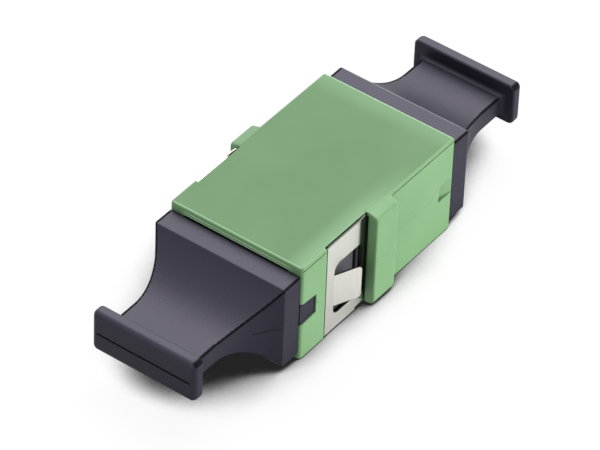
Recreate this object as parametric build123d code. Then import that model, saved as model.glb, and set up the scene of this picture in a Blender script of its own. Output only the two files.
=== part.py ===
from build123d import *
import os
from math import asin, degrees, hypot

# Coupler for two multi-fibre push-on plugs, with a sprung panel clip and two dust caps.
# X is the width, Y the length with the clip on the -Y half, Z is up from the flat bottom.
# All sizes are in millimetres.

# Housing: one moulded tube of rectangular section, open at both ends
BODY_W = 12.8
BODY_L = 20.0
BODY_H = 9.4
SIDE_WALL = 1.3
LEVEL_WALL = 1.0
LONG_EDGE_R = 0.2
END_EDGE_R = 0.3
LINE_W = 0.12
LINE_DEPTH = 0.12
CAVITY_CORNER_R = 0.5
MOUTH_CHAMFER = 0.35

# Reduced flange: one ear on each side wall, with a sloped head
FLANGE_T = 3.0
FLANGE_OUT = 0.85
FLANGE_DROP = 0.35
FLANGE_LIFT = 0.2
FLANGE_TOP_R = 0.35
FLANGE_FOOT_R = 0.5
FLANGE_CRISP_R = 0.15
FLANGE_SOFT_R = 0.45

# Wall across the middle, which the two ferrules meet through
CENTRE_WALL_T = 1.0
CENTRE_APERTURE_W = 7.2
CENTRE_APERTURE_H = 3.2

# Slot in the cavity for a plug's key: in the roof at the front, in the floor at the rear
KEY_SLOT_W = 2.7
KEY_SLOT_DEPTH = 0.45

# Notches at mid-height of the ends: through one side wall, a sloped dent in the other
NOTCH_L = 1.95
NOTCH_MOUTH_H = 2.2
NOTCH_INNER_H = 1.85
DENT_MOUTH_DEPTH = 0.06
DENT_INNER_DEPTH = 0.45
DENT_H = 1.7

# Pocket round the front half that the clip lies in
POCKET_L = 5.4
POCKET_DEPTH = 0.3
POCKET_BASE_DEPTH = 0.25
POCKET_CORNER_R = 0.15
POCKET_RIM_R = 0.06
POCKET_TUCK_L = 0.4

# Window in each side wall, behind the clip's opening, which the insert's lug stands in
WINDOW_L = 4.45
WINDOW_H = 5.9
WINDOW_Z = 4.15
WINDOW_FROM_POCKET = 0.7
WINDOW_R = 0.3

# Panel clip: spring steel sheet bent to a U, with a tab sprung out of each arm
SHEET_T = 0.15
CLIP_GAP = 0.14
CLIP_BASE_GAP = 0.03
CLIP_FRONT_GAP = 0.16
CLIP_TOP_DROP = 0.04
CLIP_LEFT_DROP = 0.36
CLIP_CORNER_R = 0.2
CURL_L = 1.18
CURL_IN = 0.12
CURL_END_GAP = 0.1
CURL_FOOT_Z = 0.5
CURL_CORNER_R = 0.3
CLIP_OPENING_L = 3.7
CLIP_OPENING_H = 5.2
CLIP_OPENING_Z = 4.3
CLIP_OPENING_R = 0.7
CLIP_RAIL_W = 1.0
TAB_H = 3.15
TAB_REACH = 2.25
TAB_OUT = 1.0
TAB_CORNER_R = 0.35

# Latch insert: plate with two hooked arms that grip a plug
INSERT_GAP = 0.05
PLATE_T = 1.4
FERRULE_APERTURE_W = 6.6
FERRULE_APERTURE_H = 2.7
ARM_T = 0.65
ARM_H = 3.0
ARM_L = 5.0
ARM_FLEX_GAP = 0.45
ARM_ROOT_R = 0.2
HOOK_IN = 0.45
HOOK_L = 1.1
HOOK_RAMP = 0.5
RIDGE_RISE = 0.2
RIDGE_L = 0.6
RIDGE_W = 4.0

# Lug on each side of the front insert, which fills the housing's window, with a rib at its rear end
LUG_ROOT_T = 0.45
LUG_SINK = 0.11
LUG_GAP = 0.06
LUG_SLOT_W = 0.45
LUG_SLOT_DEPTH = 0.4
LUG_RIB_W = 0.35

# Dust cap: hollow plug, shoulder, waisted handle and cross bar
CAP_GAP = 0.1
SHOULDER_W = 12.5
SHOULDER_H = 7.9
SHOULDER_L = 2.0
SHOULDER_EDGE_R = 0.12
PLUG_L = 2.4
NOSE_L = 4.4
NOSE_SIDE_GAP = 0.2
NOSE_CHAMFER = 0.4
CAP_WALL = 0.7
CAP_FLOOR = 1.1
HANDLE_L = 8.33
WAIST_W = 7.7
WAIST_T = 1.75
SIDE_ARC_L = 5.8
LEVEL_ARC_L = 5.4
BAR_W = 9.95
BAR_H = 3.95
BAR_RISE = 0.27
BAR_T = 1.1
BAR_ROOT_SHARE = 0.4
BAR_BACK_SHARE = 0.24
BAR_CORNER_R = 0.5
BAR_FRONT_R = 0.45
BAR_LINE_L = 8.9
BAR_LINE_RISE = 0.15
BAR_LINE_W = 0.15
KEY_TAB_SINK = 0.12
KEY_TAB_GAP = 0.08

# Worked out from the driving dimensions
MID_Z = BODY_H / 2
HALF_W = BODY_W / 2
HALF_L = BODY_L / 2
CAVITY_W = BODY_W - 2 * SIDE_WALL
CAVITY_H = BODY_H - 2 * LEVEL_WALL
WALL_Y = -CENTRE_WALL_T / 2
POCKET_REAR_Y = -FLANGE_T / 2
POCKET_FRONT_Y = POCKET_REAR_Y - POCKET_L
POCKET_X = HALF_W - POCKET_DEPTH
WINDOW_FRONT_Y = POCKET_FRONT_Y + WINDOW_FROM_POCKET
WINDOW_REAR_Y = WINDOW_FRONT_Y + WINDOW_L
LUG_IN_X = CAVITY_W / 2 - LUG_ROOT_T
LUG_OUT_X = POCKET_X - LUG_SINK
ARM_OUT_X = LUG_IN_X - ARM_FLEX_GAP
ARM_IN_X = ARM_OUT_X - ARM_T
HOOK_X = ARM_IN_X - HOOK_IN
CLIP_IN_X = POCKET_X + CLIP_GAP
CLIP_OUT_X = CLIP_IN_X + SHEET_T
CLIP_FRONT_Y = POCKET_FRONT_Y + CLIP_FRONT_GAP
CLIP_FLAT_Y = POCKET_REAR_Y - CURL_END_GAP - CURL_L
CLIP_LOW_Z = POCKET_BASE_DEPTH - CLIP_BASE_GAP - SHEET_T
CLIP_TOP_Z = BODY_H - CLIP_TOP_DROP
CURL_R = (CURL_L ** 2 + CURL_IN ** 2) / (2 * CURL_IN)
CURL_ANGLE = degrees(asin(CURL_L / CURL_R))
BAR_SIDE_OVERHANG = (BAR_W - WAIST_W) / 2
BAR_LEVEL_OVERHANG = (BAR_H - WAIST_T) / 2 - BAR_RISE
BAR_BACK_R = BAR_BACK_SHARE * BAR_LEVEL_OVERHANG


def block(x0, x1, y0, y1, z0, z1):
    """Box between two corners."""
    size = (abs(x1 - x0), abs(y1 - y0), abs(z1 - z0))
    return Pos((x0 + x1) / 2, (y0 + y1) / 2, (z0 + z1) / 2) * Box(*size)


def turned(shape):
    """Half turn about the upright axis, which carries a front piece to the rear."""
    return Rot(0, 0, 180) * shape


def near(value, target):
    """True where two lengths agree."""
    return abs(value - target) < 1e-4


def flange():
    """Both ears as one plate across the housing; the right one is softer at its rear."""
    outer = HALF_W + FLANGE_OUT
    shoulder = HALF_W - LONG_EDGE_R
    head = BODY_H - FLANGE_DROP
    half = make_face(Polyline(
        (0, FLANGE_LIFT), (outer, FLANGE_LIFT), (outer, head), (shoulder, BODY_H), (0, BODY_H), close=True,
    ))
    plate = extrude(Plane.XZ.offset(-FLANGE_T / 2) * half, FLANGE_T)

    def outer_edges(axis, test):
        """Edges along an axis on the right ear's outer face."""
        return [e for e in plate.edges().filter_by(axis) if near(e.center().X, outer) and test(e.center())]

    plate = fillet(outer_edges(Axis.Y, lambda c: near(c.Z, head)), FLANGE_TOP_R)
    plate = fillet(outer_edges(Axis.Y, lambda c: near(c.Z, FLANGE_LIFT)), FLANGE_FOOT_R)
    plate = fillet(outer_edges(Axis.Z, lambda c: c.Y > 0), FLANGE_SOFT_R)
    plate = fillet(outer_edges(Axis.Z, lambda c: c.Y < 0), FLANGE_CRISP_R)
    return plate + turned(plate)


def notch(x0, x1, length, mouth_h, inner_h):
    """Tapered notch of the front right side wall, or the tab that fills it."""
    inner_y = -HALF_L + length
    outline = Polyline(
        (-HALF_L, -mouth_h / 2), (inner_y, -inner_h / 2), (inner_y, inner_h / 2), (-HALF_L, mouth_h / 2),
        close=True,
    )
    return Pos(0, 0, MID_Z) * extrude(Plane.YZ.offset(x0) * make_face(outline), x1 - x0)


def dent():
    """Sloped dent of the front left side wall, deepest at its inner end."""
    inner_y = -HALF_L + NOTCH_L
    outline = Polyline(
        (-BODY_W, -HALF_L), (-HALF_W + DENT_MOUTH_DEPTH, -HALF_L),
        (-HALF_W + DENT_INNER_DEPTH, inner_y), (-BODY_W, inner_y), close=True,
    )
    return Pos(0, 0, MID_Z - DENT_H / 2) * extrude(make_face(outline), DENT_H)


def ridges(clearance):
    """Ridges above and below the front insert's plate, or their pockets when grown by a clearance."""
    y = WALL_Y - PLATE_T / 2
    half_l = RIDGE_L / 2 + clearance
    half_w = RIDGE_W / 2 + clearance
    root = CAVITY_H / 2 - 2 * INSERT_GAP
    reach = CAVITY_H / 2 + RIDGE_RISE + clearance
    upper = block(-half_w, half_w, y - half_l, y + half_l, MID_Z + root, MID_Z + reach)
    lower = block(-half_w, half_w, y - half_l, y + half_l, MID_Z - reach, MID_Z - root)
    return upper + lower


def housing():
    """Green moulding that holds everything else."""
    body = Pos(0, 0, MID_Z) * Box(BODY_W, BODY_L, BODY_H)
    body = fillet(body.edges().filter_by(Axis.Y), LONG_EDGE_R)
    body = fillet([e for e in body.edges() if near(abs(e.center().Y), HALF_L)], END_EDGE_R)

    # Pocket of the clip: both side walls and the bottom of the front half
    pocket = block(-BODY_W, BODY_W, POCKET_FRONT_Y, POCKET_REAR_Y, -1, BODY_H + 1)
    core = block(-POCKET_X, POCKET_X, POCKET_FRONT_Y, POCKET_REAR_Y, POCKET_BASE_DEPTH, BODY_H)
    core = fillet([e for e in core.edges().filter_by(Axis.Y) if e.center().Z < MID_Z], POCKET_CORNER_R)
    core = fillet([e for e in core.edges().filter_by(Axis.Y) if near(e.center().Z, BODY_H)], POCKET_RIM_R)
    body = body - pocket + core + flange()

    # Slots under the ears' front faces, where the clip's curled edges tuck in
    tuck = block(-HALF_W, HALF_W, POCKET_REAR_Y, POCKET_REAR_Y + POCKET_TUCK_L, -1, BODY_H - FLANGE_DROP)
    body -= tuck - Pos(0, 0, MID_Z) * Box(2 * POCKET_X, BODY_L, 2 * BODY_H)

    # Windows of the front half, behind the clip's tabs
    window_y = (WINDOW_FRONT_Y + WINDOW_REAR_Y) / 2
    for hand in (-1, 1):
        window = Pos(hand * HALF_W, window_y, WINDOW_Z) * Box(3 * SIDE_WALL, WINDOW_L, WINDOW_H)
        body -= fillet(window.edges().filter_by(Axis.X), WINDOW_R)

    # Cavities for the plugs, with a lead-in at each mouth
    floor_z = LEVEL_WALL
    roof_z = BODY_H - LEVEL_WALL
    cavity = block(-CAVITY_W / 2, CAVITY_W / 2, -HALF_L, WALL_Y, floor_z, roof_z)
    cavity = fillet(cavity.edges().filter_by(Axis.Y), CAVITY_CORNER_R)
    body = body - cavity - turned(cavity)
    mouths = [e for e in body.edges()
              if near(abs(e.center().Y), HALF_L) and abs(e.center().X) < CAVITY_W / 2 + 1e-3
              and floor_z - 1e-3 < e.center().Z < roof_z + 1e-3]
    body = chamfer(mouths, MOUTH_CHAMFER)

    # Key slots, on opposite faces of the two cavities
    half_slot = KEY_SLOT_W / 2
    body -= block(-half_slot, half_slot, -HALF_L, WALL_Y, MID_Z, roof_z + KEY_SLOT_DEPTH)
    body -= block(-half_slot, half_slot, -WALL_Y, HALF_L, floor_z - KEY_SLOT_DEPTH, MID_Z)

    # Opening through the centre wall
    body -= Pos(0, 0, MID_Z) * Box(CENTRE_APERTURE_W, 2 * CENTRE_WALL_T, CENTRE_APERTURE_H)

    # End notches: through one wall and a dent in the other, the other way round at the rear
    through = notch(CAVITY_W / 2 - SIDE_WALL, BODY_W, NOTCH_L, NOTCH_MOUTH_H, NOTCH_INNER_H)
    body = body - through - dent() - turned(through) - turned(dent())

    # Fine mould line along each side wall, just under the top edge
    line_z = BODY_H - LONG_EDGE_R
    for y0, y1 in ((-HALF_L, POCKET_FRONT_Y), (FLANGE_T / 2, HALF_L)):
        rim = block(-BODY_W, BODY_W, y0, y1, line_z - LINE_W, line_z)
        body -= rim - Pos(0, 0, MID_Z) * Box(BODY_W - 2 * LINE_DEPTH, BODY_W + BODY_L, BODY_H)

    # Pockets in roof and floor that the inserts' ridges snap into
    ridge_pockets = ridges(INSERT_GAP)
    return body - ridge_pockets - turned(ridge_pockets)


def latch_insert():
    """Front latch insert: plate on the centre wall, two hooked arms towards the mouth."""
    front = WALL_Y - PLATE_T
    tip = front - ARM_L
    half_w = CAVITY_W / 2 - INSERT_GAP
    half_h = CAVITY_H / 2 - INSERT_GAP
    plate = block(-half_w, half_w, front, WALL_Y, MID_Z - half_h, MID_Z + half_h)
    plate = fillet(plate.edges().filter_by(Axis.Y), CAVITY_CORNER_R)
    outline = Polyline(
        (ARM_OUT_X, front), (ARM_OUT_X, tip + ARM_T / 2), (ARM_OUT_X - ARM_T / 2, tip),
        (ARM_IN_X, tip), (HOOK_X, tip + HOOK_RAMP), (HOOK_X, tip + HOOK_L),
        (ARM_IN_X, tip + HOOK_L), (ARM_IN_X, front), close=True,
    )
    arm = Pos(0, 0, MID_Z - ARM_H / 2) * extrude(make_face(outline), ARM_H)
    insert = plate + arm + mirror(arm, Plane.YZ)
    roots = [e for e in insert.edges().filter_by(Axis.Z)
             if near(e.center().Y, front) and near(abs(e.center().X), ARM_IN_X)]
    insert = fillet(roots, ARM_ROOT_R)
    mid_y = (front + WALL_Y) / 2
    insert -= Pos(0, mid_y, MID_Z) * Box(FERRULE_APERTURE_W, 2 * PLATE_T, FERRULE_APERTURE_H)
    return insert + ridges(0)


def lug():
    """Lug of the front insert's right side, from its plate into the housing's window."""
    half_h = WINDOW_H / 2 - LUG_GAP
    front = WINDOW_FRONT_Y + LUG_GAP
    rear = WINDOW_REAR_Y - LUG_GAP
    body = block(LUG_IN_X, LUG_OUT_X, front, rear, WINDOW_Z - half_h, WINDOW_Z + half_h)
    body = fillet(body.edges().filter_by(Axis.X), WINDOW_R - LUG_GAP)
    root = block(
        LUG_IN_X, CAVITY_W / 2 - INSERT_GAP, front, WALL_Y - PLATE_T / 2, WINDOW_Z - half_h, WINDOW_Z + half_h,
    )
    face = LUG_OUT_X - LUG_SLOT_DEPTH
    rib = rear - LUG_SLOT_W / 2 - LUG_RIB_W
    body -= block(face, BODY_W, rib - LUG_SLOT_W, rib, 0, BODY_H)
    body -= block(face, BODY_W, rib + LUG_RIB_W, rear + LUG_GAP, 0, BODY_H)
    return body + root


def curled_edge():
    """Edge of the right arm beside the flange, curved in towards the wall."""
    centre = (CLIP_OUT_X - CURL_R, CLIP_FLAT_Y)
    outer = CenterArc(centre, CURL_R, 0, CURL_ANGLE)
    inner = CenterArc(centre, CURL_R - SHEET_T, 0, CURL_ANGLE)
    section = make_face(outer + Line(outer @ 1, inner @ 1) + inner + Line(inner @ 0, outer @ 0))
    curl = Pos(0, 0, CURL_FOOT_Z) * extrude(section, CLIP_TOP_Z - CURL_FOOT_Z)
    rear = max(e.center().Y for e in curl.edges())
    corners = [e for e in curl.edges() if near(e.length, SHEET_T) and e.center().Y > rear - SHEET_T]
    return fillet(corners, CURL_CORNER_R)


def sprung_tab():
    """Tab of the right arm, which springs out to hold a panel against the flange."""
    root_y = CLIP_FRONT_Y + CLIP_RAIL_W
    length = hypot(TAB_OUT, TAB_REACH)
    across = (-SHEET_T * TAB_REACH / length, SHEET_T * TAB_OUT / length)
    end = (CLIP_OUT_X + TAB_OUT, root_y + TAB_REACH)
    outline = Polyline(
        (CLIP_OUT_X, root_y - SHEET_T), (CLIP_OUT_X, root_y), end,
        (end[0] + across[0], end[1] + across[1]), (CLIP_IN_X, root_y + across[1]),
        (CLIP_IN_X, root_y - SHEET_T), close=True,
    )
    tab = Pos(0, 0, CLIP_OPENING_Z - TAB_H / 2) * extrude(make_face(outline), TAB_H)
    corners = [e for e in tab.edges() if near(e.length, SHEET_T) and e.center().Y > end[1] - SHEET_T]
    return fillet(corners, TAB_CORNER_R)


def panel_clip():
    """Sheet-steel U round the front half, open at the top."""
    flat_l = CLIP_FLAT_Y - CLIP_FRONT_Y
    bend = POCKET_CORNER_R
    outer = Pos(0, (CLIP_LOW_Z + CLIP_TOP_Z) / 2) * Rectangle(2 * CLIP_OUT_X, CLIP_TOP_Z - CLIP_LOW_Z)
    outer = fillet([v for v in outer.vertices() if v.Y < MID_Z], bend + SHEET_T)
    inner_low = CLIP_LOW_Z + SHEET_T
    inner = Pos(0, inner_low + BODY_H / 2) * Rectangle(2 * CLIP_IN_X, BODY_H)
    inner = fillet([v for v in inner.vertices() if v.Y < MID_Z], bend)
    clip = extrude(Plane.XZ.offset(-CLIP_FRONT_Y) * (outer - inner), -flat_l)

    # The left arm ends lower, except at its curled edge
    left_top_z = BODY_H - CLIP_LEFT_DROP
    clip -= block(-BODY_W, 0, CLIP_FRONT_Y, CLIP_FLAT_Y, left_top_z, BODY_H)
    corners = [e for e in clip.edges().filter_by(Axis.X)
               if e.center().Z > left_top_z - 1e-3 and near(e.center().Y, CLIP_FRONT_Y)]
    clip = fillet(corners, CLIP_CORNER_R)

    # Base strip, which runs on under the housing to the flange
    base = CLIP_IN_X - bend
    clip += block(-base, base, CLIP_FLAT_Y, POCKET_REAR_Y - CURL_END_GAP, CLIP_LOW_Z, inner_low)
    curl = curled_edge()
    clip = clip + curl + mirror(curl, Plane.YZ)

    # Opening in each arm, and the tab that is sprung out of it
    opening_y = CLIP_FRONT_Y + CLIP_RAIL_W + CLIP_OPENING_L / 2
    opening = Pos(0, opening_y, CLIP_OPENING_Z) * Box(2 * BODY_W, CLIP_OPENING_L, CLIP_OPENING_H)
    clip -= fillet(opening.edges().filter_by(Axis.X), CLIP_OPENING_R)
    tab = sprung_tab()
    return clip + tab + mirror(tab, Plane.YZ)


def half_outline(shoulder, waist, bar, arc_l):
    """One side of the waisted outline, where bar is how far the cross bar reaches from the middle."""
    start_y = -HALF_L - SHOULDER_L
    waist_y = start_y - arc_l
    bar_y = start_y - HANDLE_L
    end_y = bar_y - BAR_T
    sweep = TangentArc((waist / 2, waist_y), (shoulder / 2, start_y), tangent=(0, 1))
    rest = Polyline(
        (waist / 2, waist_y), (waist / 2, bar_y), (bar, bar_y), (bar, end_y),
        (0, end_y), (0, start_y), (shoulder / 2, start_y),
    )
    return make_face(sweep + rest)


def handle_outline(shoulder, waist, bar, arc_l, rise, root_r):
    """Waisted outline of the handle and its bar, across the first axis and along Y."""
    upper = half_outline(shoulder, waist, bar / 2 + rise, arc_l)
    lower = half_outline(shoulder, waist, bar / 2 - rise, arc_l)
    face = upper + mirror(lower, Plane.YZ)
    bar_y = -HALF_L - SHOULDER_L - HANDLE_L
    roots = [v for v in face.vertices() if near(abs(v.X), waist / 2) and near(v.Y, bar_y)]
    return fillet(roots, root_r)


def handle():
    """Handle and cross bar, waisted in plan and from the side."""
    root_r = BAR_ROOT_SHARE * BAR_SIDE_OVERHANG
    plan = extrude(handle_outline(SHOULDER_W, WAIST_W, BAR_W, SIDE_ARC_L, 0, root_r), SHOULDER_H)
    plan = Pos(0, 0, MID_Z - SHOULDER_H / 2) * plan
    side_plane = Plane(origin=(SHOULDER_W / 2, 0, MID_Z), x_dir=(0, 0, 1), z_dir=(-1, 0, 0))
    root_r = BAR_ROOT_SHARE * BAR_LEVEL_OVERHANG
    outline = handle_outline(SHOULDER_H, WAIST_T, BAR_H, LEVEL_ARC_L, BAR_RISE, root_r)
    side = extrude(side_plane * outline, SHOULDER_W)
    grip = plan & side

    bar_y = -HALF_L - SHOULDER_L - HANDLE_L
    corners = [e for e in grip.edges().filter_by(Axis.Y) if e.center().Y < bar_y]
    grip = fillet(corners, BAR_CORNER_R)
    front = [e for e in grip.edges() if near(e.center().Y, bar_y - BAR_T)]
    grip = fillet(front, BAR_FRONT_R)
    back = [e for e in grip.edges() if near(e.center().Y, bar_y)
            and (near(abs(e.center().X), BAR_W / 2) or near(abs(e.center().Z - MID_Z - BAR_RISE), BAR_H / 2))]
    return fillet(back, BAR_BACK_R)


def dust_cap():
    """Front dust cap: the plug that fills the mouth, and the handle that pulls it out."""
    start_y = -HALF_L - SHOULDER_L
    cap = handle()
    cap += Pos(0, -HALF_L - SHOULDER_L / 2, MID_Z) * Box(SHOULDER_W, SHOULDER_L, SHOULDER_H)
    rims = [e for e in cap.edges() if near(e.center().Y, start_y) or near(e.center().Y, -HALF_L)]
    cap = fillet(rims, SHOULDER_EDGE_R)

    # Plug that fits the mouth, and a narrower nose between the latch arms
    plug_w = CAVITY_W - 2 * CAP_GAP
    plug_h = CAVITY_H - 2 * CAP_GAP
    nose_w = 2 * (HOOK_X - NOSE_SIDE_GAP)
    plug_y = -HALF_L + PLUG_L
    plug = block(-plug_w / 2, plug_w / 2, -HALF_L - SHOULDER_L / 2, plug_y, MID_Z - plug_h / 2, MID_Z + plug_h / 2)
    cap += fillet(plug.edges().filter_by(Axis.Y), CAVITY_CORNER_R)
    nose = block(-nose_w / 2, nose_w / 2, plug_y, plug_y + NOSE_L, MID_Z - plug_h / 2, MID_Z + plug_h / 2)
    tips = [e for e in nose.edges() if near(e.center().Y, plug_y + NOSE_L)]
    cap += chamfer(tips, NOSE_CHAMFER)

    # Key tab that fills the through notch, a little below the wall's face
    cap += notch(
        plug_w / 2 - CAP_WALL, HALF_W - KEY_TAB_SINK, NOTCH_L - KEY_TAB_GAP,
        NOTCH_MOUTH_H - 2 * KEY_TAB_GAP, NOTCH_INNER_H - 2 * KEY_TAB_GAP,
    )

    # Fine mould line across the bar's front
    cap -= Pos(0, start_y - HANDLE_L - BAR_T, MID_Z + BAR_LINE_RISE) * Box(BAR_LINE_L, 2 * LINE_DEPTH, BAR_LINE_W)

    # Hollow inside, open at the nose
    hollow = block(
        -nose_w / 2 + CAP_WALL, nose_w / 2 - CAP_WALL, start_y + CAP_FLOOR, plug_y + NOSE_L,
        MID_Z - plug_h / 2 + CAP_WALL, MID_Z + plug_h / 2 - CAP_WALL,
    )
    return cap - fillet(hollow.edges().filter_by(Axis.Y), CAVITY_CORNER_R)


os.makedirs("parts", exist_ok=True)
plain_insert = latch_insert()
front_cap = dust_cap()
pieces = {
    "housing": housing(),
    "panel_clip": panel_clip(),
    "front_latch_insert": plain_insert + lug() + mirror(lug(), Plane.YZ),
    "rear_latch_insert": turned(plain_insert),
    "front_dust_cap": front_cap,
    "rear_dust_cap": turned(front_cap),
}
for name, piece in pieces.items():
    export_step(piece, f"parts/{name}.step")
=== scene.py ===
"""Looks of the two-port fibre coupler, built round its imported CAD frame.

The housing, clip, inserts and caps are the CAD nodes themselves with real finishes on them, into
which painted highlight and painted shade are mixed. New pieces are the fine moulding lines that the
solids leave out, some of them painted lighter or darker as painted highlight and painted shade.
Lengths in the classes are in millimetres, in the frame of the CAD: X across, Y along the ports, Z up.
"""

from __future__ import annotations

import logging
from dataclasses import dataclass
from enum import Enum

import bmesh
import bpy
import numpy as np
from mathutils import Matrix


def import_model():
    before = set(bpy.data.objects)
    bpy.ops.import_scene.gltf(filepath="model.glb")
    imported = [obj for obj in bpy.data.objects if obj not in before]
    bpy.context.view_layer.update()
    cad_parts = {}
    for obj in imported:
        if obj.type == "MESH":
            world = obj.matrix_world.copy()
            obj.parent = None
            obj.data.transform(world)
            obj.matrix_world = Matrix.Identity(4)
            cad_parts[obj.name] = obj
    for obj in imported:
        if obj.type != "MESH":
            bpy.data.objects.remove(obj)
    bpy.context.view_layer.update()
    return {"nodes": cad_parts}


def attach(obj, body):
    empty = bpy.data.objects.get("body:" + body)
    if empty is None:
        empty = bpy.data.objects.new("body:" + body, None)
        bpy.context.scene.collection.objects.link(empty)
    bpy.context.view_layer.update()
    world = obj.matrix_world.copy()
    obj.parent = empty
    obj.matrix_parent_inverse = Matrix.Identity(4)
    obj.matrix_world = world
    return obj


Tree = bpy.types.NodeTree
Node = bpy.types.Node
Socket = bpy.types.NodeSocket

LOG = logging.getLogger("coupler")
MM = 0.001
# Values of the noise where a finish's darker tone ends and its lighter one begins
MOTTLE = (0.3, 0.7)
# Rays for each shaded point, in the nodes that look around
BEVEL_SAMPLES = 6
CREVICE_SAMPLES = 8
FLOOR_SAMPLES = 24


class Side(Enum):
    """Which wall of the housing a piece lies on. The value is the sign of X there."""

    RIGHT = 1
    LEFT = -1


class End(Enum):
    """Which port a piece belongs to. The value is the sign of Y there."""

    FRONT = -1
    REAR = 1


# Colour, node and mesh helpers


def linear(hex_colour: str) -> tuple[float, float, float, float]:
    """Turn an sRGB hex colour into the linear values that shaders use.

    Args:
        hex_colour: Six hex digits after a hash.

    Returns:
        Red, green, blue and an alpha of one.
    """
    digits = hex_colour.lstrip("#")
    srgb = np.array([int(digits[i:i + 2], 16) for i in (0, 2, 4)]) / 255.0
    value = np.where(srgb <= 0.04045, srgb / 12.92, ((srgb + 0.055) / 1.055) ** 2.4)
    return float(value[0]), float(value[1]), float(value[2]), 1.0


def add_node(
    tree: Tree, kind: str, inputs: dict | list | tuple = (), stops: list | tuple = (), **settings: object,
) -> Node:
    """Add one node to a tree with its settings and links.

    Args:
        tree: Node tree that gets the node.
        kind: Blender's name of the node type.
        inputs: What the inputs get, by name or place, or as a list in the node's own order. Each is
            a value, an output socket to link, or a node whose first output is linked.
        stops: Positions and colours of a colour ramp, in rising order.
        settings: Properties of the node itself.

    Returns:
        The new node.
    """
    node = tree.nodes.new(kind)
    for key, value in settings.items():
        setattr(node, key, value)
    for key, value in inputs.items() if isinstance(inputs, dict) else enumerate(inputs):
        source = value.outputs[0] if isinstance(value, Node) else value
        if isinstance(source, Socket):
            tree.links.new(source, node.inputs[key])
        else:
            node.inputs[key].default_value = source
    if stops:
        elements = node.color_ramp.elements
        for element, (position, colour) in zip(elements, (stops[0], stops[-1])):
            element.position = position
            element.color = colour
        for position, colour in stops[1:-1]:
            elements.new(position).color = colour
    return node


def empty_material(name: str) -> bpy.types.Material:
    """Make a material whose node tree is empty.

    Args:
        name: Name of the material.

    Returns:
        The material, ready for its nodes.
    """
    material = bpy.data.materials.new(name)
    material.use_nodes = True
    material.node_tree.nodes.clear()
    return material


def grid_object(name: str, points: np.ndarray, closed: bool = False) -> bpy.types.Object:
    """Make an object from a grid of points, one quad between each four neighbours.

    Args:
        name: Name of the object and of its mesh.
        points: Rows by columns by three, in millimetres. Rows run along the path.
        closed: Whether the last column joins the first, with a face over each end.

    Returns:
        The object, at the origin and unturned.
    """
    rows, columns = points.shape[:2]
    index = np.arange(rows * columns).reshape(rows, columns)
    across = np.concatenate([index, index[:, :1]], axis=1) if closed else index
    corners = [across[:-1, :-1], across[:-1, 1:], across[1:, 1:], across[1:, :-1]]
    faces = np.stack(corners, axis=-1).reshape(-1, 4).tolist()
    if closed:
        faces += [index[0, ::-1].tolist(), index[-1].tolist()]
    mesh = bpy.data.meshes.new(name)
    mesh.from_pydata((points.reshape(-1, 3) * MM).tolist(), [], faces)
    mesh.polygons.foreach_set("use_smooth", np.ones(len(mesh.polygons), dtype=bool))
    mesh.update()
    piece = bpy.data.objects.new(name, mesh)
    bpy.context.scene.collection.objects.link(piece)
    return piece


def stand(name: str, data: bpy.types.ID, axes: list[np.ndarray], place_mm: np.ndarray) -> bpy.types.Object:
    """Put a camera or a lamp in the scene.

    Args:
        name: Name of the object.
        data: Its camera or lamp data.
        axes: Its right, up and back directions.
        place_mm: Where it stands.

    Returns:
        The object.
    """
    matrix = np.eye(4)
    matrix[:3, :3] = np.stack(axes, axis=1)
    matrix[:3, 3] = place_mm * MM
    item = bpy.data.objects.new(name, data)
    item.matrix_world = Matrix(matrix.tolist())
    bpy.context.scene.collection.objects.link(item)
    return item


# Finishes. The colour sockets of the Mix node share their names with its other ones, so they go by
# place: input 0 is the share, inputs 6 and 7 are the colours, and output 2 is the mixed colour.


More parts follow.
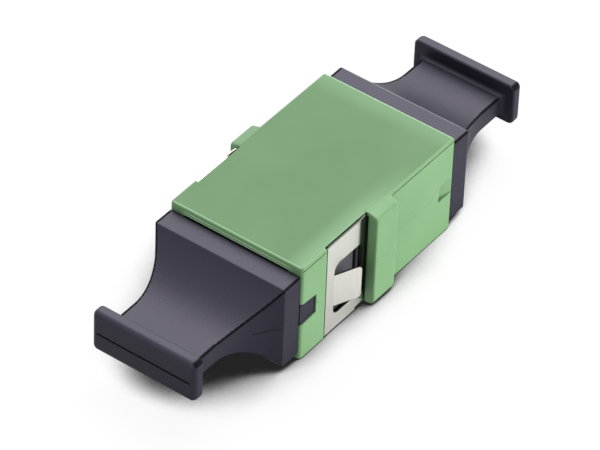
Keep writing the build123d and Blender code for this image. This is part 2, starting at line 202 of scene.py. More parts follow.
@dataclass(frozen=True)
class MouldedPlastic:
    """Injection-moulded thermoplastic with a spark-eroded satin skin.

    The eye sees an even colour, a soft sheen and a grain that is only just there. Real grain of
    this kind is about 0.03 mm across, too fine to show, so it is drawn as coarse as it needs to be.
    Edges and crevices get colours of painted light. The edge colour is a painted highlight where it
    is lighter than the body and painted shade where it is darker, and the crevice colour is painted
    shade where ambient occlusion finds the point hemmed in. Three masks find the edges: the bevel's
    own, the brows, which are the upper parts of rounded edges and lean a little off level, and the
    ridges, which are the rounded edges between the top and the right-hand flanks. The rim is where
    the level top nears its right-hand and rear edges; its paler colour is a painted highlight. Shares
    go from 0 to 1, and a lean is a part of the unit normal.
    the unit normal.
    """

    name: str
    colour: str
    shade: str
    roughness: float
    grain_mm: float
    grain_depth_mm: float
    grain_detail: float = 4.0
    rough_spread: float = 0.05
    flow_mm: float = 6.0
    flow_detail: float = 3.0
    ior: float = 1.5
    specular: float = 0.5
    sheen_tint: str = "#ffffff"
    sheltered_sheen: float = 0.3
    flank_sheen: float = 1.0
    edge_mm: float = 0.12
    # The edge colour is painted light: a painted highlight where it is lighter than the body, painted shade
    # where it is darker
    edge_colour: str = "#a8cda3"
    edge_share: float = 0.5
    edge_agree: tuple[float, float] = (0.995, 0.88)
    # The crevice colour is painted shade, where ambient occlusion finds the point hemmed in
    crevice_colour: str = "#1f2a1e"
    crevice_mm: float = 0.5
    crevice_open: tuple[float, float] = (0.2, 0.75)
    crevice_keep: float = 0.0
    # Brows and ridges take the edge colour too: painted highlight or painted shade
    brow_share: float = 0.0
    brow_leans: tuple[float, float, float, float] = (0.72, 0.86, 0.975, 0.995)
    brow_right_lean: tuple[float, float] = (0.1, 0.3)
    brow_right_keep: float = 0.1
    brow_left_lean: tuple[float, float] = (-0.3, -0.05)
    brow_left_keep: float = 0.45
    ridge_share: float = 0.0
    ridge_turn: tuple[float, float] = (0.1, 0.35)
    rim_share: float = 0.0
    # The rim colour is a painted highlight near the top's right-hand and rear edges
    rim_colour: str = "#a4cba4"
    rim_lean: tuple[float, float] = (0.9, 0.995)
    rim_right_mm: tuple[float, float] = (4.2, 6.3)
    rim_fade_mm: tuple[float, float] = (7.0, -3.0)
    rim_rear_mm: tuple[float, float] = (7.6, 9.8)
    rim_rear_share: float = 0.55

    def edge_mask(self, tree: Tree, rounded: Node) -> Node:
        """Find the edges that take painted highlight or painted shade: the bevel's own, the brows and the
        ridges.

        The bevel's own lie where its rounded normal leaves the true one.

        Args:
            tree: Node tree of the material.
            rounded: The Bevel node.

        Returns:
            Node of the mask, from 0 on a flat face to the largest share on an edge.
        """
        true = add_node(tree, "ShaderNodeNewGeometry").outputs["Normal"]
        agree = add_node(tree, "ShaderNodeVectorMath", [rounded, true], operation="DOT_PRODUCT")
        bevelled = add_node(
            tree, "ShaderNodeMapRange", [agree.outputs["Value"], *self.edge_agree, 0.0, self.edge_share],
        )
        lean = add_node(tree, "ShaderNodeSeparateXYZ", [true]).outputs
        peak = (self.brow_share, self.brow_share, self.brow_share, 1.0)
        none = (0.0, 0.0, 0.0, 1.0)
        stops = list(zip(self.brow_leans, (none, peak, peak, none)))
        brow = add_node(tree, "ShaderNodeValToRGB", [lean["Z"]], stops=stops)
        # The painted highlight on the brows is weaker where the surface leans right, and less weak where it
        # leans left
        right = add_node(
            tree, "ShaderNodeMapRange", [lean["X"], *self.brow_right_lean, 1.0, self.brow_right_keep],
        )
        left = add_node(
            tree, "ShaderNodeMapRange", [lean["X"], *self.brow_left_lean, self.brow_left_keep, 1.0],
        )
        keep = add_node(tree, "ShaderNodeMath", [right, left], operation="MULTIPLY")
        kept = add_node(tree, "ShaderNodeMath", [brow, keep], operation="MULTIPLY")
        turn = add_node(tree, "ShaderNodeMath", [lean["X"], lean["Z"]], operation="MULTIPLY")
        ridge = add_node(tree, "ShaderNodeMapRange", [turn, *self.ridge_turn, 0.0, self.ridge_share])
        either = add_node(tree, "ShaderNodeMath", [bevelled, kept], operation="MAXIMUM")
        return add_node(tree, "ShaderNodeMath", [either, ridge], operation="MAXIMUM")

    def rim_mask(self, tree: Tree, place: Socket) -> Node:
        """Find the rim of the level top, at its right-hand and rear edges, where a painted highlight goes.

        Args:
            tree: Node tree of the material.
            place: Object coordinates.

        Returns:
            Node of the mask, from 0 inside to the rim share at the rim.
        """
        axes = add_node(tree, "ShaderNodeSeparateXYZ", [place]).outputs
        right, fade, rear = (
            add_node(
                tree, "ShaderNodeMapRange", [axes[axis], start * MM, end * MM, 0.0, most],
                interpolation_type="SMOOTHSTEP",
            )
            for axis, (start, end), most in (
                ("X", self.rim_right_mm, 1.0),
                ("Y", self.rim_fade_mm, 1.0),
                ("Y", self.rim_rear_mm, self.rim_rear_share),
            )
        )
        side = add_node(tree, "ShaderNodeMath", [right, fade], operation="MULTIPLY")
        both = add_node(tree, "ShaderNodeMath", [side, rear], operation="MAXIMUM")
        normal = add_node(tree, "ShaderNodeNewGeometry").outputs["Normal"]
        lean = add_node(tree, "ShaderNodeSeparateXYZ", [normal]).outputs["Z"]
        level = add_node(
            tree, "ShaderNodeMapRange", [lean, *self.rim_lean, 0.0, self.rim_share],
            interpolation_type="SMOOTHSTEP",
        )
        return add_node(tree, "ShaderNodeMath", [both, level], operation="MULTIPLY")

    def sheen(self, tree: Tree, shelter: Node, edge_mask: Node) -> Node:
        """Work out how strongly the surface mirrors.

        Crevices mirror less. Upright flanks keep more of the grain than level faces, and edges
        are dull.

        Args:
            tree: Node tree of the material.
            shelter: How open the point is.
            edge_mask: Mask of the edges.

        Returns:
            Node of the level.
        """
        in_the_open = add_node(
            tree, "ShaderNodeMapRange",
            [shelter, 0.0, 1.0, self.sheltered_sheen * self.specular, self.specular],
        )
        normal = add_node(tree, "ShaderNodeNewGeometry").outputs["Normal"]
        lean = add_node(tree, "ShaderNodeSeparateXYZ", [normal]).outputs["Z"]
        flank = add_node(tree, "ShaderNodeMapRange", [lean, 0.0, 1.0, self.flank_sheen, 1.0])
        off_edge = add_node(tree, "ShaderNodeMath", [1.0, edge_mask], operation="SUBTRACT")
        even = add_node(tree, "ShaderNodeMath", [flank, off_edge], operation="MULTIPLY")
        return add_node(tree, "ShaderNodeMath", [in_the_open, even], operation="MULTIPLY")

    def material(self) -> bpy.types.Material:
        """Build the node tree.

        Returns:
            The material.
        """
        material = empty_material(self.name)
        tree = material.node_tree
        place = add_node(tree, "ShaderNodeTexCoord").outputs["Object"]
        around = add_node(
            tree, "ShaderNodeAmbientOcclusion", {"Distance": self.crevice_mm * MM}, samples=CREVICE_SAMPLES,
        )
        shelter = add_node(
            tree, "ShaderNodeMapRange", [around.outputs["AO"], *self.crevice_open, self.crevice_keep, 1.0],
        )
        flow, grain = (
            add_node(
                tree, "ShaderNodeTexNoise", {"Vector": place, "Scale": 1 / (size_mm * MM), "Detail": detail},
            )
            for size_mm, detail in ((self.flow_mm, self.flow_detail), (self.grain_mm, self.grain_detail))
        )
        stops = list(zip(MOTTLE, (linear(self.shade), linear(self.colour))))
        tone = add_node(tree, "ShaderNodeValToRGB", [flow], stops=stops)
        rounded = add_node(tree, "ShaderNodeBevel", {"Radius": self.edge_mm * MM}, samples=BEVEL_SAMPLES)
        edge_mask = self.edge_mask(tree, rounded)
        # Painted highlight: the paler rim near the top's right-hand and rear edges
        rimmed = add_node(
            tree, "ShaderNodeMix", {0: self.rim_mask(tree, place), 6: tone, 7: linear(self.rim_colour)},
            data_type="RGBA",
        )
        # Edges, brows and ridges take the edge colour: painted highlight or painted shade
        lifted = add_node(
            tree, "ShaderNodeMix", {0: edge_mask, 6: rimmed.outputs[2], 7: linear(self.edge_colour)},
            data_type="RGBA",
        )
        # Painted shade: the crevice colour where the point is hemmed in
        colour = add_node(
            tree, "ShaderNodeMix", {0: shelter, 6: linear(self.crevice_colour), 7: lifted.outputs[2]},
            data_type="RGBA",
        )
        spread = (self.roughness - self.rough_spread, self.roughness + self.rough_spread)
        relief = {"Height": grain, "Distance": self.grain_depth_mm * MM, "Strength": 1.0, "Normal": rounded}
        shader = add_node(
            tree, "ShaderNodeBsdfPrincipled",
            {
                "Base Color": colour.outputs[2],
                "Roughness": add_node(tree, "ShaderNodeMapRange", [grain, 0.0, 1.0, *spread]),
                "Normal": add_node(tree, "ShaderNodeBump", relief),
                "IOR": self.ior,
                "Specular IOR Level": self.sheen(tree, shelter, edge_mask),
                "Specular Tint": linear(self.sheen_tint),
            },
        )
        add_node(tree, "ShaderNodeOutputMaterial", {"Surface": shader})
        return material


@dataclass(frozen=True)
class SpringSteel:
    """Cold-rolled stainless spring steel sheet, stamped and bent.

    The eye sees a bright, slightly warm grey with faint rolling lines along the strip. The curled
    edge is painted dark, a painted reflection of the dark gap beside the flange, and the sheared top
    edge is painted dark too, partly for its dull cut and partly as painted shade in the gap under the
    housing's edge. Both show less on the left arm. Real rolling lines are about 0.01 mm apart, too
    fine to show, so they are drawn coarser.
    """

    name: str
    colour: str
    shade: str
    roughness: float
    line_mm: float
    curl_colour: str
    curl_y_mm: tuple[float, float]
    curl_z_mm: tuple[float, float]
    shear_colour: str
    shear_tilt: float
    line_detail: float = 5.0
    line_stretch: float = 0.04
    line_depth_mm: float = 0.003
    rough_spread: float = 0.06
    edge_mm: float = 0.05
    left_keep: float = 0.45

    def material(self) -> bpy.types.Material:
        """Build the node tree.

        Returns:
            The material.
        """
        material = empty_material(self.name)
        tree = material.node_tree
        place = add_node(tree, "ShaderNodeTexCoord").outputs["Object"]
        along = add_node(
            tree, "ShaderNodeMapping", {"Vector": place, "Scale": (1.0, 1.0, self.line_stretch)},
        )
        lines = add_node(
            tree, "ShaderNodeTexNoise",
            {"Vector": along, "Scale": 1 / (self.line_mm * MM), "Detail": self.line_detail},
        )
        stops = list(zip(MOTTLE, (linear(self.shade), linear(self.colour))))
        tone = add_node(tree, "ShaderNodeValToRGB", [lines], stops=stops)
        axes = add_node(tree, "ShaderNodeSeparateXYZ", [place]).outputs
        arm = add_node(tree, "ShaderNodeMapRange", [axes["X"], -MM, MM, self.left_keep, 1.0])
        curl, foot = (
            add_node(
                tree, "ShaderNodeMapRange", [axes[axis], start * MM, end * MM, 0.0, 1.0],
                interpolation_type="SMOOTHSTEP",
            )
            for axis, (start, end) in (("Y", self.curl_y_mm), ("Z", self.curl_z_mm))
        )
        above = add_node(tree, "ShaderNodeMath", [arm, foot], operation="MULTIPLY")
        bend = add_node(tree, "ShaderNodeMath", [curl, above], operation="MULTIPLY")
        normal = add_node(tree, "ShaderNodeNewGeometry").outputs["Normal"]
        upward = add_node(tree, "ShaderNodeSeparateXYZ", [normal]).outputs["Z"]
        top = add_node(tree, "ShaderNodeMath", [upward, self.shear_tilt], operation="GREATER_THAN")
        cut = add_node(tree, "ShaderNodeMath", [top, arm], operation="MULTIPLY")
        # Painted reflection: the curl is painted dark
        bent = add_node(
            tree, "ShaderNodeMix", {0: bend, 6: tone, 7: linear(self.curl_colour)}, data_type="RGBA",
        )
        # The sheared top is painted dark: partly a dull cut, partly painted shade
        colour = add_node(
            tree, "ShaderNodeMix", {0: cut, 6: bent.outputs[2], 7: linear(self.shear_colour)},
            data_type="RGBA",
        )
        spread = (self.roughness - self.rough_spread, self.roughness + self.rough_spread)
        rounded = add_node(tree, "ShaderNodeBevel", {"Radius": self.edge_mm * MM}, samples=BEVEL_SAMPLES)
        relief = {"Height": lines, "Distance": self.line_depth_mm * MM, "Strength": 1.0, "Normal": rounded}
        shader = add_node(
            tree, "ShaderNodeBsdfPrincipled",
            {
                "Base Color": colour.outputs[2],
                "Metallic": 1.0,
                "Roughness": add_node(tree, "ShaderNodeMapRange", [lines, 0.0, 1.0, *spread]),
                "Normal": add_node(tree, "ShaderNodeBump", relief),
            },
        )
        add_node(tree, "ShaderNodeOutputMaterial", {"Surface": shader})
        return material


# Polybutylene terephthalate, moulded: satin green, with a painted highlight on its edges, brows and rim, and
# painted shade in its crevices
GREEN_MOULDING = MouldedPlastic(
    "moulded_pbt_green", colour="#6f926a", shade="#698c64", roughness=0.42, grain_mm=0.12,
    grain_depth_mm=0.004, specular=0.12, edge_colour="#a4cba4", edge_share=0.55,
    crevice_colour="#27381f", brow_share=1.0, rim_share=0.42,
)
# The same resin painted lighter for the fine lines over the mouths: a painted highlight
GREEN_HIGHLIGHT_LINE = MouldedPlastic(
    "polished_pbt_green", colour="#9fc49a", shade="#9ac095", roughness=0.34, grain_mm=0.12,
    grain_depth_mm=0.002, specular=0.2, edge_colour="#b4d6b2",
)
# The same resin in black, kept plain because it sits deep inside, with a faint painted highlight on its
# edges and painted shade in its crevices
BLACK_MOULDING = MouldedPlastic(
    "moulded_pbt_black", colour="#3c3a42", shade="#37353d", roughness=0.4, grain_mm=0.12,
    grain_depth_mm=0.004, edge_colour="#57565f", edge_share=0.3, crevice_colour="#0c0c0e",
)
# Soft low-density polyethylene in black: slightly purple, waxy, with a fine spark-eroded grain
# Its edges and ridges are painted near black, and its crevices and low flanks darker: painted shade
CAP_MOULDING = MouldedPlastic(
    "moulded_ldpe_black", colour="#25232d", shade="#1e1c27", roughness=0.5, grain_mm=0.2,
    grain_depth_mm=0.016, specular=0.64, sheen_tint="#ece7ff", flank_sheen=0.36,
    edge_colour="#0b0a0f", edge_share=0.8, crevice_colour="#060608", crevice_mm=3.0,
    crevice_keep=0.3, ridge_share=0.85,
)
# The same polyethylene painted near black and dull for lines along the upper edges: painted shade
CAP_EDGE_SHADE = MouldedPlastic(
    "burnished_ldpe_black", colour="#08070b", shade="#060509", roughness=0.55, grain_mm=0.2,
    grain_depth_mm=0.01, specular=0.08, edge_colour="#08070b", crevice_colour="#060608",
)
# The same polyethylene painted pale for a line along one edge: a painted highlight
CAP_SHOULDER_HIGHLIGHT = MouldedPlastic(
    "rubbed_ldpe_grey", colour="#8b8995", shade="#82808c", roughness=0.5, grain_mm=0.2,
    grain_depth_mm=0.01, edge_colour="#8b8995", crevice_colour="#716f79",
)
# Austenitic stainless strip, cold-rolled to spring temper, with its curl painted dark as a painted
# reflection and its sheared top darker, partly a dull cut and partly painted shade
CLIP_STEEL = SpringSteel(
    "rolled_stainless_steel", colour="#f1efea", shade="#e6e3dd", roughness=0.3, line_mm=0.05,
    curl_colour="#56545a", curl_y_mm=(-2.8, -2.4), curl_z_mm=(1.1, 1.6),
    shear_colour="#4a4a46", shear_tilt=0.7,
)


# Fine moulding lines


def crest(first: np.ndarray, second: np.ndarray) -> tuple[np.ndarray, np.ndarray]:
    """Work out which way the edge between two faces points.

    Args:
        first: Unit normals of one face along the edge, rows by three.
        second: Unit normals of the other face.

    Returns:
        Unit directions halfway between the two, and how fast both faces fall away from them.
    """
    outward = first + second
    outward /= np.linalg.norm(outward, axis=1, keepdims=True)
    agree = np.sum(first * second, axis=1)
    return outward, np.sqrt((1 - agree) / (1 + agree))


def straight(
    start: tuple[float, float, float], end: tuple[float, float, float], rows: int = 12,
) -> np.ndarray:
    """Divide a straight run evenly.

    Args:
        start: First point.
        end: Last point.
        rows: How many points.

    Returns:
        Rows by three.
    """
    share = np.linspace(0.0, 1.0, rows)[:, None]
    return np.array(start) * (1 - share) + np.array(end) * share


@dataclass(frozen=True)
class MouldLine:
    """Fine raised line that the closing faces of a mould leave on a moulding."""

    width_mm: float = 0.12
    height_mm: float = 0.016
    root_mm: float = 0.03
    columns: int = 7
    tip_share: float = 0.25

    def build(
        self, name: str, path: np.ndarray, outward: np.ndarray, fold: np.ndarray | None = None,
    ) -> bpy.types.Object:
        """Carry a low rounded profile along a path on a surface.

        Across the line, the profile's height follows half a cosine wave. Its root lies just under
        the surface, and the whole profile is smaller at the first and last row of the path.

        Args:
            name: Name of the piece.
            path: Points by three, on the surface, in millimetres.
            outward: Points by three, unit normals of the surface along the path.
            fold: How fast the surface falls away on both sides of each point. None on a flat one.

        Returns:
            The line as a closed tube.
        """
        along = np.gradient(path, axis=0)
        along /= np.linalg.norm(along, axis=1, keepdims=True)
        sideways = np.cross(along, outward)
        turn = np.linspace(-0.5, 0.5, self.columns)
        across = np.concatenate([turn, [0.5, -0.5]]) * self.width_mm
        rise = np.concatenate([np.cos(np.pi * turn) * self.height_mm, [-self.root_mm, -self.root_mm]])
        drop = np.zeros(len(path)) if fold is None else fold
        rise = rise[None, :] - drop[:, None] * np.abs(across)[None, :]
        swell = np.ones(len(path))
        swell[[0, -1]] = self.tip_share
        points = (
            path[:, None, :]
            + sideways[:, None, :] * (across[None, :] * swell[:, None])[..., None]
            + outward[:, None, :] * (rise * swell[:, None])[..., None]
        )
        return grid_object(name, points, closed=True)


@dataclass(frozen=True)
class HousingLines:
    """Mould lines of the green housing, at mid-height of its sides and over its mouths."""

    half_width: float = 6.4
    half_length: float = 10.0
    mid_height: float = 4.7
    ear_out: float = 7.25
    ear_run: tuple[float, float] = (-1.3, 1.0)
    rear_run: tuple[float, float] = (1.7, 7.95)
    front_run: tuple[float, float] = (-7.95, -7.0)
    mouth_half: float = 5.7
    mouth_heights: tuple[float, float] = (9.04, 8.81)
    line: MouldLine = MouldLine()
    mouth_line: MouldLine = MouldLine(height_mm=0.05)

    def build(self, finish: bpy.types.Material, mouth_highlight_finish: bpy.types.Material) -> list[bpy.types.Object]:
        """Build all the lines of the housing.

        Args:
            finish: Material of the side lines.
            mouth_highlight_finish: Material of the lines over the mouths, painted lighter as a painted
                highlight.

        Returns:
            The new pieces.
        """
        pieces = []
        for side in Side:
            # The left ear is the right one turned about Z, so its run changes sign
            ear_run = tuple(side.value * y for y in self.ear_run)
            runs = {
                "ear": (self.ear_out, ear_run),
                "rear": (self.half_width, self.rear_run),
                "front": (self.half_width, self.front_run),
            }
            for part, (out, (start, end)) in runs.items():
                x = side.value * out
                path = straight((x, start, self.mid_height), (x, end, self.mid_height))
                outward = np.tile([float(side.value), 0.0, 0.0], (len(path), 1))
                pieces.append(self.line.build(f"mould_line_{part}_{side.name.lower()}", path, outward))
        for piece in pieces:
            finish_piece(piece, finish, "adapter")
        # The lines over the mouths are painted lighter: painted highlight
        for end in End:
            y = end.value * self.half_length
            for name, height in zip(("upper", "lower"), self.mouth_heights):
                path = straight((-self.mouth_half, y, height), (self.mouth_half, y, height))
                outward = np.tile([0.0, float(end.value), 0.0], (len(path), 1))
                piece = self.mouth_line.build(f"mould_line_mouth_{end.name.lower()}_{name}", path, outward)
                finish_piece(piece, mouth_highlight_finish, "adapter")
                pieces.append(piece)
        return pieces


@dataclass(frozen=True)
class CapLines:
    """Lines of a dust cap: mould lines at mid-height, painted shade on its upper edges, painted highlight on
    the rear shoulder.

    From the shoulder to the waist, the handle's sides and its top are arcs that end level with Y,
    and from there to the cross bar they are straight. A rise is a height over the mid-height.
    """

    end: End
    mid_height: float = 4.7
    shoulder_half: float = 6.25
    shoulder_rise: float = 3.95
    waist_half: float = 3.85
    waist_rise: float = 0.875
    shoulder_y: float = 12.0
    side_arc: float = 5.8
    level_arc: float = 5.4
    side_run: tuple[float, float] = (12.15, 14.0)
    edge_run: tuple[float, float] = (10.1, 19.85)
    corner_gap: float = 0.05
    highlight_gap: float = 0.12
    side_rows: int = 30
    edge_rows: tuple[int, int] = (8, 70)
    highlight_rows: int = 12
    line: MouldLine = MouldLine(width_mm=0.1, height_mm=0.02)
    # Near-black line along the upper edges: painted shade
    edge_line: MouldLine = MouldLine(width_mm=0.25, height_mm=0.012)
    # Pale line along the rear shoulder: painted highlight
    highlight_line: MouldLine = MouldLine(width_mm=0.15, height_mm=0.012)

    def sweep(self, y: np.ndarray, wide: float, narrow: float, arc: float) -> tuple[np.ndarray, np.ndarray]:
        """Work out half the width or height of the cap at distances from the middle of the housing.

        The arc's radius follows from its length and how far it moves in.

        Args:
            y: Distances along the port.
            wide: Half size at the shoulder.
            narrow: Half size at the waist.
            arc: Length of the arc along Y.

        Returns:
            Half sizes, and the sine of how far the surface leans away from the housing.
        """
        inward = wide - narrow
        radius = (arc ** 2 + inward ** 2) / (2 * inward)
        left = np.clip(self.shoulder_y + arc - y, 0.0, arc)
        lean = np.where(y < self.shoulder_y, 0.0, left / radius)
        return narrow + radius - np.sqrt(radius ** 2 - left ** 2), lean

    def side(self) -> tuple[np.ndarray, np.ndarray]:
        """Lay out the mid-height line of the front cap's right flank.

        Returns:
            Points and unit normals, each rows by three.
        """
        y = np.linspace(*self.side_run, self.side_rows)
        x, lean = self.sweep(y, self.shoulder_half, self.waist_half, self.side_arc)
        normal = np.stack([np.sqrt(1 - lean ** 2), -lean, np.zeros_like(y)], axis=1)
        return np.stack([x, -y, np.full_like(y, self.mid_height)], axis=1), normal

    def edge(self) -> tuple[np.ndarray, np.ndarray, np.ndarray]:
        """Lay out the upper right edge of the front cap, over the shoulder and the handle.

        Returns:
            Points, unit outward directions, and how fast both faces fall away.
        """
        y = np.concatenate([
            np.linspace(self.edge_run[0], self.shoulder_y - self.corner_gap, self.edge_rows[0]),
            np.linspace(self.shoulder_y + self.corner_gap, self.edge_run[1], self.edge_rows[1]),
        ])
        level = np.zeros_like(y)
        x, side_lean = self.sweep(y, self.shoulder_half, self.waist_half, self.side_arc)
        rise, top_lean = self.sweep(y, self.shoulder_rise, self.waist_rise, self.level_arc)
        flank = np.stack([np.sqrt(1 - side_lean ** 2), -side_lean, level], axis=1)
        top = np.stack([level, -top_lean, np.sqrt(1 - top_lean ** 2)], axis=1)
        return np.stack([x, -y, self.mid_height + rise], axis=1), *crest(flank, top)

    def shoulder(self) -> tuple[np.ndarray, np.ndarray, np.ndarray]:
        """Lay out the upper edge of the rear cap's shoulder, where the handle begins, for its painted
        highlight.

        Returns:
            Points, unit outward directions, and how fast both faces fall away.
        """
        half = self.shoulder_half - self.highlight_gap
        x = np.linspace(-half, half, self.highlight_rows)
        y = np.full_like(x, self.shoulder_y)
        level = np.zeros_like(x)
        rise, lean = self.sweep(y, self.shoulder_rise, self.waist_rise, self.level_arc)
        top = np.stack([level, level, level + 1.0], axis=1)
        handle = np.stack([level, lean, np.sqrt(1 - lean ** 2)], axis=1)
        return np.stack([x, y, self.mid_height + rise], axis=1), *crest(top, handle)

    def build(
        self, finish: bpy.types.Material, edge_shade_finish: bpy.types.Material, highlight_finish: bpy.types.Material,
    ) -> list[bpy.types.Object]:
        """Build the lines of both flanks, the painted-shade lines of both upper edges, and the rear cap's
        painted highlight.

        Args:
            finish: Material of the lines at mid-height.
            edge_shade_finish: Material of the lines on the edges, a near-black painted shade.
            highlight_finish: Material of the shoulder edge, a pale painted highlight.

        Returns:
            The new pieces.
        """
        pieces = []
        cap = f"{self.end.name.lower()}_cap"
        for hand in Side:
            which = f"{cap}_{hand.name.lower()}"
            flip = np.array([hand.value, -self.end.value, 1.0])
            points, normal = self.side()
            line = self.line.build(f"mould_line_{which}", points * flip, normal * flip)
            finish_piece(line, finish, cap)
            # The upper edge gets a near-black line: painted shade
            points, outward, fold = self.edge()
            edge = self.edge_line.build(f"edge_line_{which}", points * flip, outward * flip, fold)
            finish_piece(edge, edge_shade_finish, cap)
            pieces += [line, edge]
        # The rear cap's shoulder edge gets a pale line: painted highlight
        if self.end is End.REAR:
            shoulder = self.highlight_line.build(f"shoulder_line_{cap}", *self.shoulder())
            finish_piece(shoulder, highlight_finish, cap)
            pieces.append(shoulder)
        return pieces


# Studio


@dataclass(frozen=True)
class SoftLamp:
    """Oblong soft lamp that faces the middle of the object. Its width is its level side."""

    name: str
    place_mm: tuple[float, float, float]
    width_mm: float
    height_mm: float
    watts: float
    mirrored: bool = True

    def build(self) -> None:
        """Put the lamp in the scene."""
        data = bpy.data.lights.new(self.name, "AREA")
        data.shape = "RECTANGLE"
        data.size = self.width_mm * MM
        data.size_y = self.height_mm * MM
        data.energy = self.watts
        place = np.array(self.place_mm)
        back = place / np.linalg.norm(place)
        side = np.cross([0.0, 0.0, 1.0], back)
        side /= np.linalg.norm(side)
        lamp = stand(self.name, data, [side, np.cross(back, side), back], place)
        lamp.visible_glossy = self.mirrored


@dataclass(frozen=True)
class PaperFloor:
    """Flat pale paper under the object, white in the open, with a painted shadow close to the object.

    The painted shadow comes from ambient occlusion, looked for on the side that the light comes from.
    Painted light lifts it behind the object and ahead of its near bar, and painted shade deepens it
    beneath the right edge of the near cap.
    """

    half_mm: float = 600.0
    tint: str = "#c0c0c0"
    mirrored_tint: str = "#e4e4e4"
    reach_mm: float = 9.0
    towards: tuple[float, float, float] = (0.25, -0.31, 0.91)
    shade_open: tuple[float, float] = (0.5, 0.73)
    darkest: float = 0.02
    # Painted light and painted shade by place, added to the occlusion
    behind_y_mm: tuple[float, float] = (5.0, 15.0)
    behind_fill: float = 0.13
    ahead_y_mm: tuple[float, float] = (-16.0, -21.0)
    ahead_fill: float = 0.07
    beneath_y_mm: tuple[float, float] = (-6.0, -11.0)
    beneath_x_mm: tuple[float, float] = (2.0, 6.0)
    beneath_fill: float = -0.09
    own_white: float = 0.88

    def shade(self, tree: Tree) -> Node:
        """Work out how white the paper is, which is its painted shadow.

        Args:
            tree: Node tree of the floor's material.

        Returns:
            Node of a value from the darkest to 1.
        """
        towards = add_node(tree, "ShaderNodeCombineXYZ", list(self.towards))
        near = add_node(
            tree, "ShaderNodeAmbientOcclusion", {"Distance": self.reach_mm * MM, "Normal": towards},
            samples=FLOOR_SAMPLES,
        )
        point = add_node(tree, "ShaderNodeNewGeometry").outputs["Position"]
        axes = add_node(tree, "ShaderNodeSeparateXYZ", [point]).outputs
        behind, ahead, along, across = (
            add_node(tree, "ShaderNodeMapRange", [axes[axis], start * MM, end * MM, 0.0, most])
            for axis, (start, end), most in (
                ("Y", self.behind_y_mm, self.behind_fill),
                ("Y", self.ahead_y_mm, self.ahead_fill),
                ("Y", self.beneath_y_mm, self.beneath_fill),
                ("X", self.beneath_x_mm, 1.0),
            )
        )
        beneath = add_node(tree, "ShaderNodeMath", [along, across], operation="MULTIPLY")
        lit = near.outputs["AO"]
        # Painted light behind and ahead, painted shade beneath the near cap
        for fill in (behind, ahead, beneath):
            lit = add_node(tree, "ShaderNodeMath", [lit, fill], operation="ADD")
        return add_node(tree, "ShaderNodeMapRange", [lit, *self.shade_open, self.darkest, 1.0])

    def material(self) -> bpy.types.Material:
        """Build the node tree.

        Seen directly, most of the paper's white is its own glow, and that glow carries the painted
        shadow, so that it stays white with soft shadows.

        Returns:
            The material.
        """
        material = empty_material("studio_paper_white")
        tree = material.node_tree
        path = add_node(tree, "ShaderNodeLightPath").outputs
        mirrored = add_node(
            tree, "ShaderNodeMix",
            {0: path["Is Glossy Ray"], 6: linear(self.tint), 7: linear(self.mirrored_tint)},
            data_type="RGBA",
        )
        shade = self.shade(tree)
        colour = add_node(
            tree, "ShaderNodeMix", {0: path["Is Camera Ray"], 6: mirrored.outputs[2], 7: shade},
            data_type="RGBA",
        )
        paper = add_node(tree, "ShaderNodeBsdfDiffuse", {"Color": colour.outputs[2]})
        # The paper's own glow carries the painted shadow
        white = add_node(tree, "ShaderNodeEmission", {"Color": shade, "Strength": 1.0})
        own = add_node(tree, "ShaderNodeMath", [path["Is Camera Ray"], self.own_white], operation="MULTIPLY")
        seen = add_node(tree, "ShaderNodeMixShader", [own, paper, white])
        add_node(tree, "ShaderNodeOutputMaterial", {"Surface": seen})
        return material

    def build(self) -> None:
        """Lay the paper as one square quad."""
        edge = np.array([-self.half_mm, self.half_mm])
        x, y = np.meshgrid(edge, edge)
        floor = grid_object("studio_floor", np.stack([x, y, np.zeros_like(x)], axis=-1))
        floor.data.materials.append(self.material())


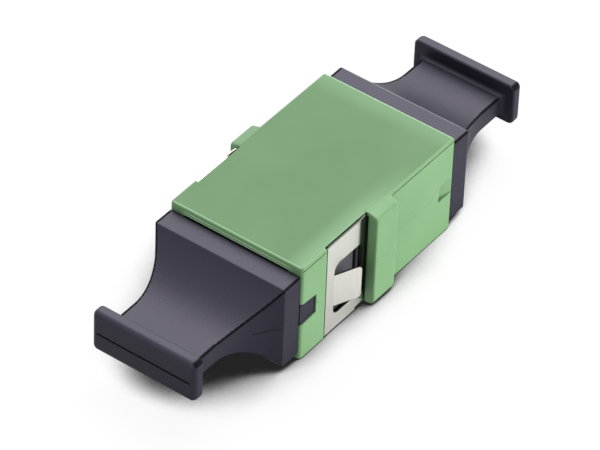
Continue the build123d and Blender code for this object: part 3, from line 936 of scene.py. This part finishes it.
@dataclass(frozen=True)
class Studio:
    """Pale floor, soft lamps and the camera at the photograph's viewing angle.

    The low lamp doesn't mirror, because it would burn out the waist of a cap seen from the far side.
    """

    azimuth_deg: float = 35.272
    elevation_deg: float = 41.561
    roll_deg: float = 2.44
    distance_mm: float = 388.368
    across_mm: float = -0.8239
    up_mm: float = 2.2669
    aim_z_mm: float = 0.54
    lens_mm: float = 295.317
    sensor_mm: float = 36.0
    clip_m: tuple[float, float] = (0.01, 10.0)
    ambient: float = 0.33
    floor: PaperFloor = PaperFloor()
    lamps: tuple[SoftLamp, ...] = (
        SoftLamp(
            "side_softbox", (350.0, 270.0, 55.0), width_mm=400.0, height_mm=100.0, watts=3.6,
            mirrored=False,
        ),
        SoftLamp("back_softbox", (-140.0, 200.0, 330.0), width_mm=460.0, height_mm=420.0, watts=1.7),
        SoftLamp("front_card", (150.0, -420.0, 200.0), width_mm=300.0, height_mm=300.0, watts=0.75),
    )

    def camera(self) -> None:
        """Place the camera, from its turn, tilt, roll and its small offsets across and up."""
        azimuth, elevation, roll = np.radians([self.azimuth_deg, self.elevation_deg, self.roll_deg])
        forward = np.array([
            -np.sin(azimuth) * np.cos(elevation), np.cos(azimuth) * np.cos(elevation), -np.sin(elevation),
        ])
        level = np.cross(forward, [0.0, 0.0, 1.0])
        level /= np.linalg.norm(level)
        upright = np.cross(level, forward)
        right = np.cos(roll) * level + np.sin(roll) * upright
        up = np.cos(roll) * upright - np.sin(roll) * level
        place = -self.distance_mm * forward + self.across_mm * right + self.up_mm * up
        place[2] += self.aim_z_mm
        data = bpy.data.cameras.new("photo_camera")
        data.sensor_width = self.sensor_mm
        data.sensor_fit = "HORIZONTAL"
        data.lens = self.lens_mm
        data.clip_start, data.clip_end = self.clip_m
        bpy.context.scene.camera = stand("photo_camera", data, [right, up, -forward], place)

    def world(self) -> None:
        """Light the scene evenly, and show white to the eye, in mirrors and through glass."""
        world = bpy.data.worlds.new("studio")
        world.use_nodes = True
        tree = world.node_tree
        tree.nodes.clear()
        path = add_node(tree, "ShaderNodeLightPath").outputs
        seen = path["Is Camera Ray"]
        for ray in ("Is Transmission Ray", "Is Glossy Ray"):
            seen = add_node(tree, "ShaderNodeMath", [seen, path[ray]], operation="MAXIMUM")
        paper = linear("#ffffff")
        fill = add_node(tree, "ShaderNodeBackground", {"Color": paper, "Strength": self.ambient})
        white = add_node(tree, "ShaderNodeBackground", {"Color": paper, "Strength": 1.0})
        either = add_node(tree, "ShaderNodeMixShader", [seen, fill, white])
        add_node(tree, "ShaderNodeOutputWorld", {"Surface": either})
        bpy.context.scene.world = world

    def build(self) -> None:
        """Set up the camera, the world, the floor and the lamps."""
        self.camera()
        self.world()
        self.floor.build()
        for lamp in self.lamps:
            lamp.build()
        bpy.context.scene.view_settings.view_transform = "Standard"


# Assembly


def dress(node: bpy.types.Object, material: bpy.types.Material) -> None:
    """Give a CAD node one finish in all its slots.

    Args:
        node: Object of the CAD node.
        material: Finish that it gets.
    """
    if not node.material_slots:
        node.data.materials.append(material)
    for slot in node.material_slots:
        slot.material = material
    LOG.info("%s is dressed in %s", node.name, material.name)


def finish_piece(piece: bpy.types.Object, finish: bpy.types.Material, body: str) -> None:
    """Point a new piece's faces outwards, dress it and hang it on its body.

    Args:
        piece: The piece.
        finish: Its material.
        body: CAD body that it rides on.
    """
    shell = bmesh.new()
    shell.from_mesh(piece.data)
    bmesh.ops.recalc_face_normals(shell, faces=shell.faces)
    shell.to_mesh(piece.data)
    shell.free()
    piece.data.materials.append(finish)
    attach(piece, body)
    LOG.info("%s rides on %s in %s", piece.name, body, finish.name)


def main() -> None:
    """Load the frame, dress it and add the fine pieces."""
    logging.basicConfig(level=logging.INFO, format="%(name)s: %(message)s")
    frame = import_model()
    nodes = frame["nodes"]
    Studio().build()
    green = GREEN_MOULDING.material()
    black = BLACK_MOULDING.material()
    cap = CAP_MOULDING.material()
    steel = CLIP_STEEL.material()
    dress(nodes["housing"], green)
    dress(nodes["panel_clip"], steel)
    for end in End:
        dress(nodes[f"{end.name.lower()}_latch_insert"], black)
        dress(nodes[f"{end.name.lower()}_dust_cap"], cap)
    pieces = HousingLines().build(green, GREEN_HIGHLIGHT_LINE.material())
    cap_edge_shade = CAP_EDGE_SHADE.material()
    cap_highlight = CAP_SHOULDER_HIGHLIGHT.material()
    for end in End:
        pieces += CapLines(end).build(cap, cap_edge_shade, cap_highlight)
    LOG.info("%d fine pieces are in place", len(pieces))


if __name__ == "__main__":
    main()
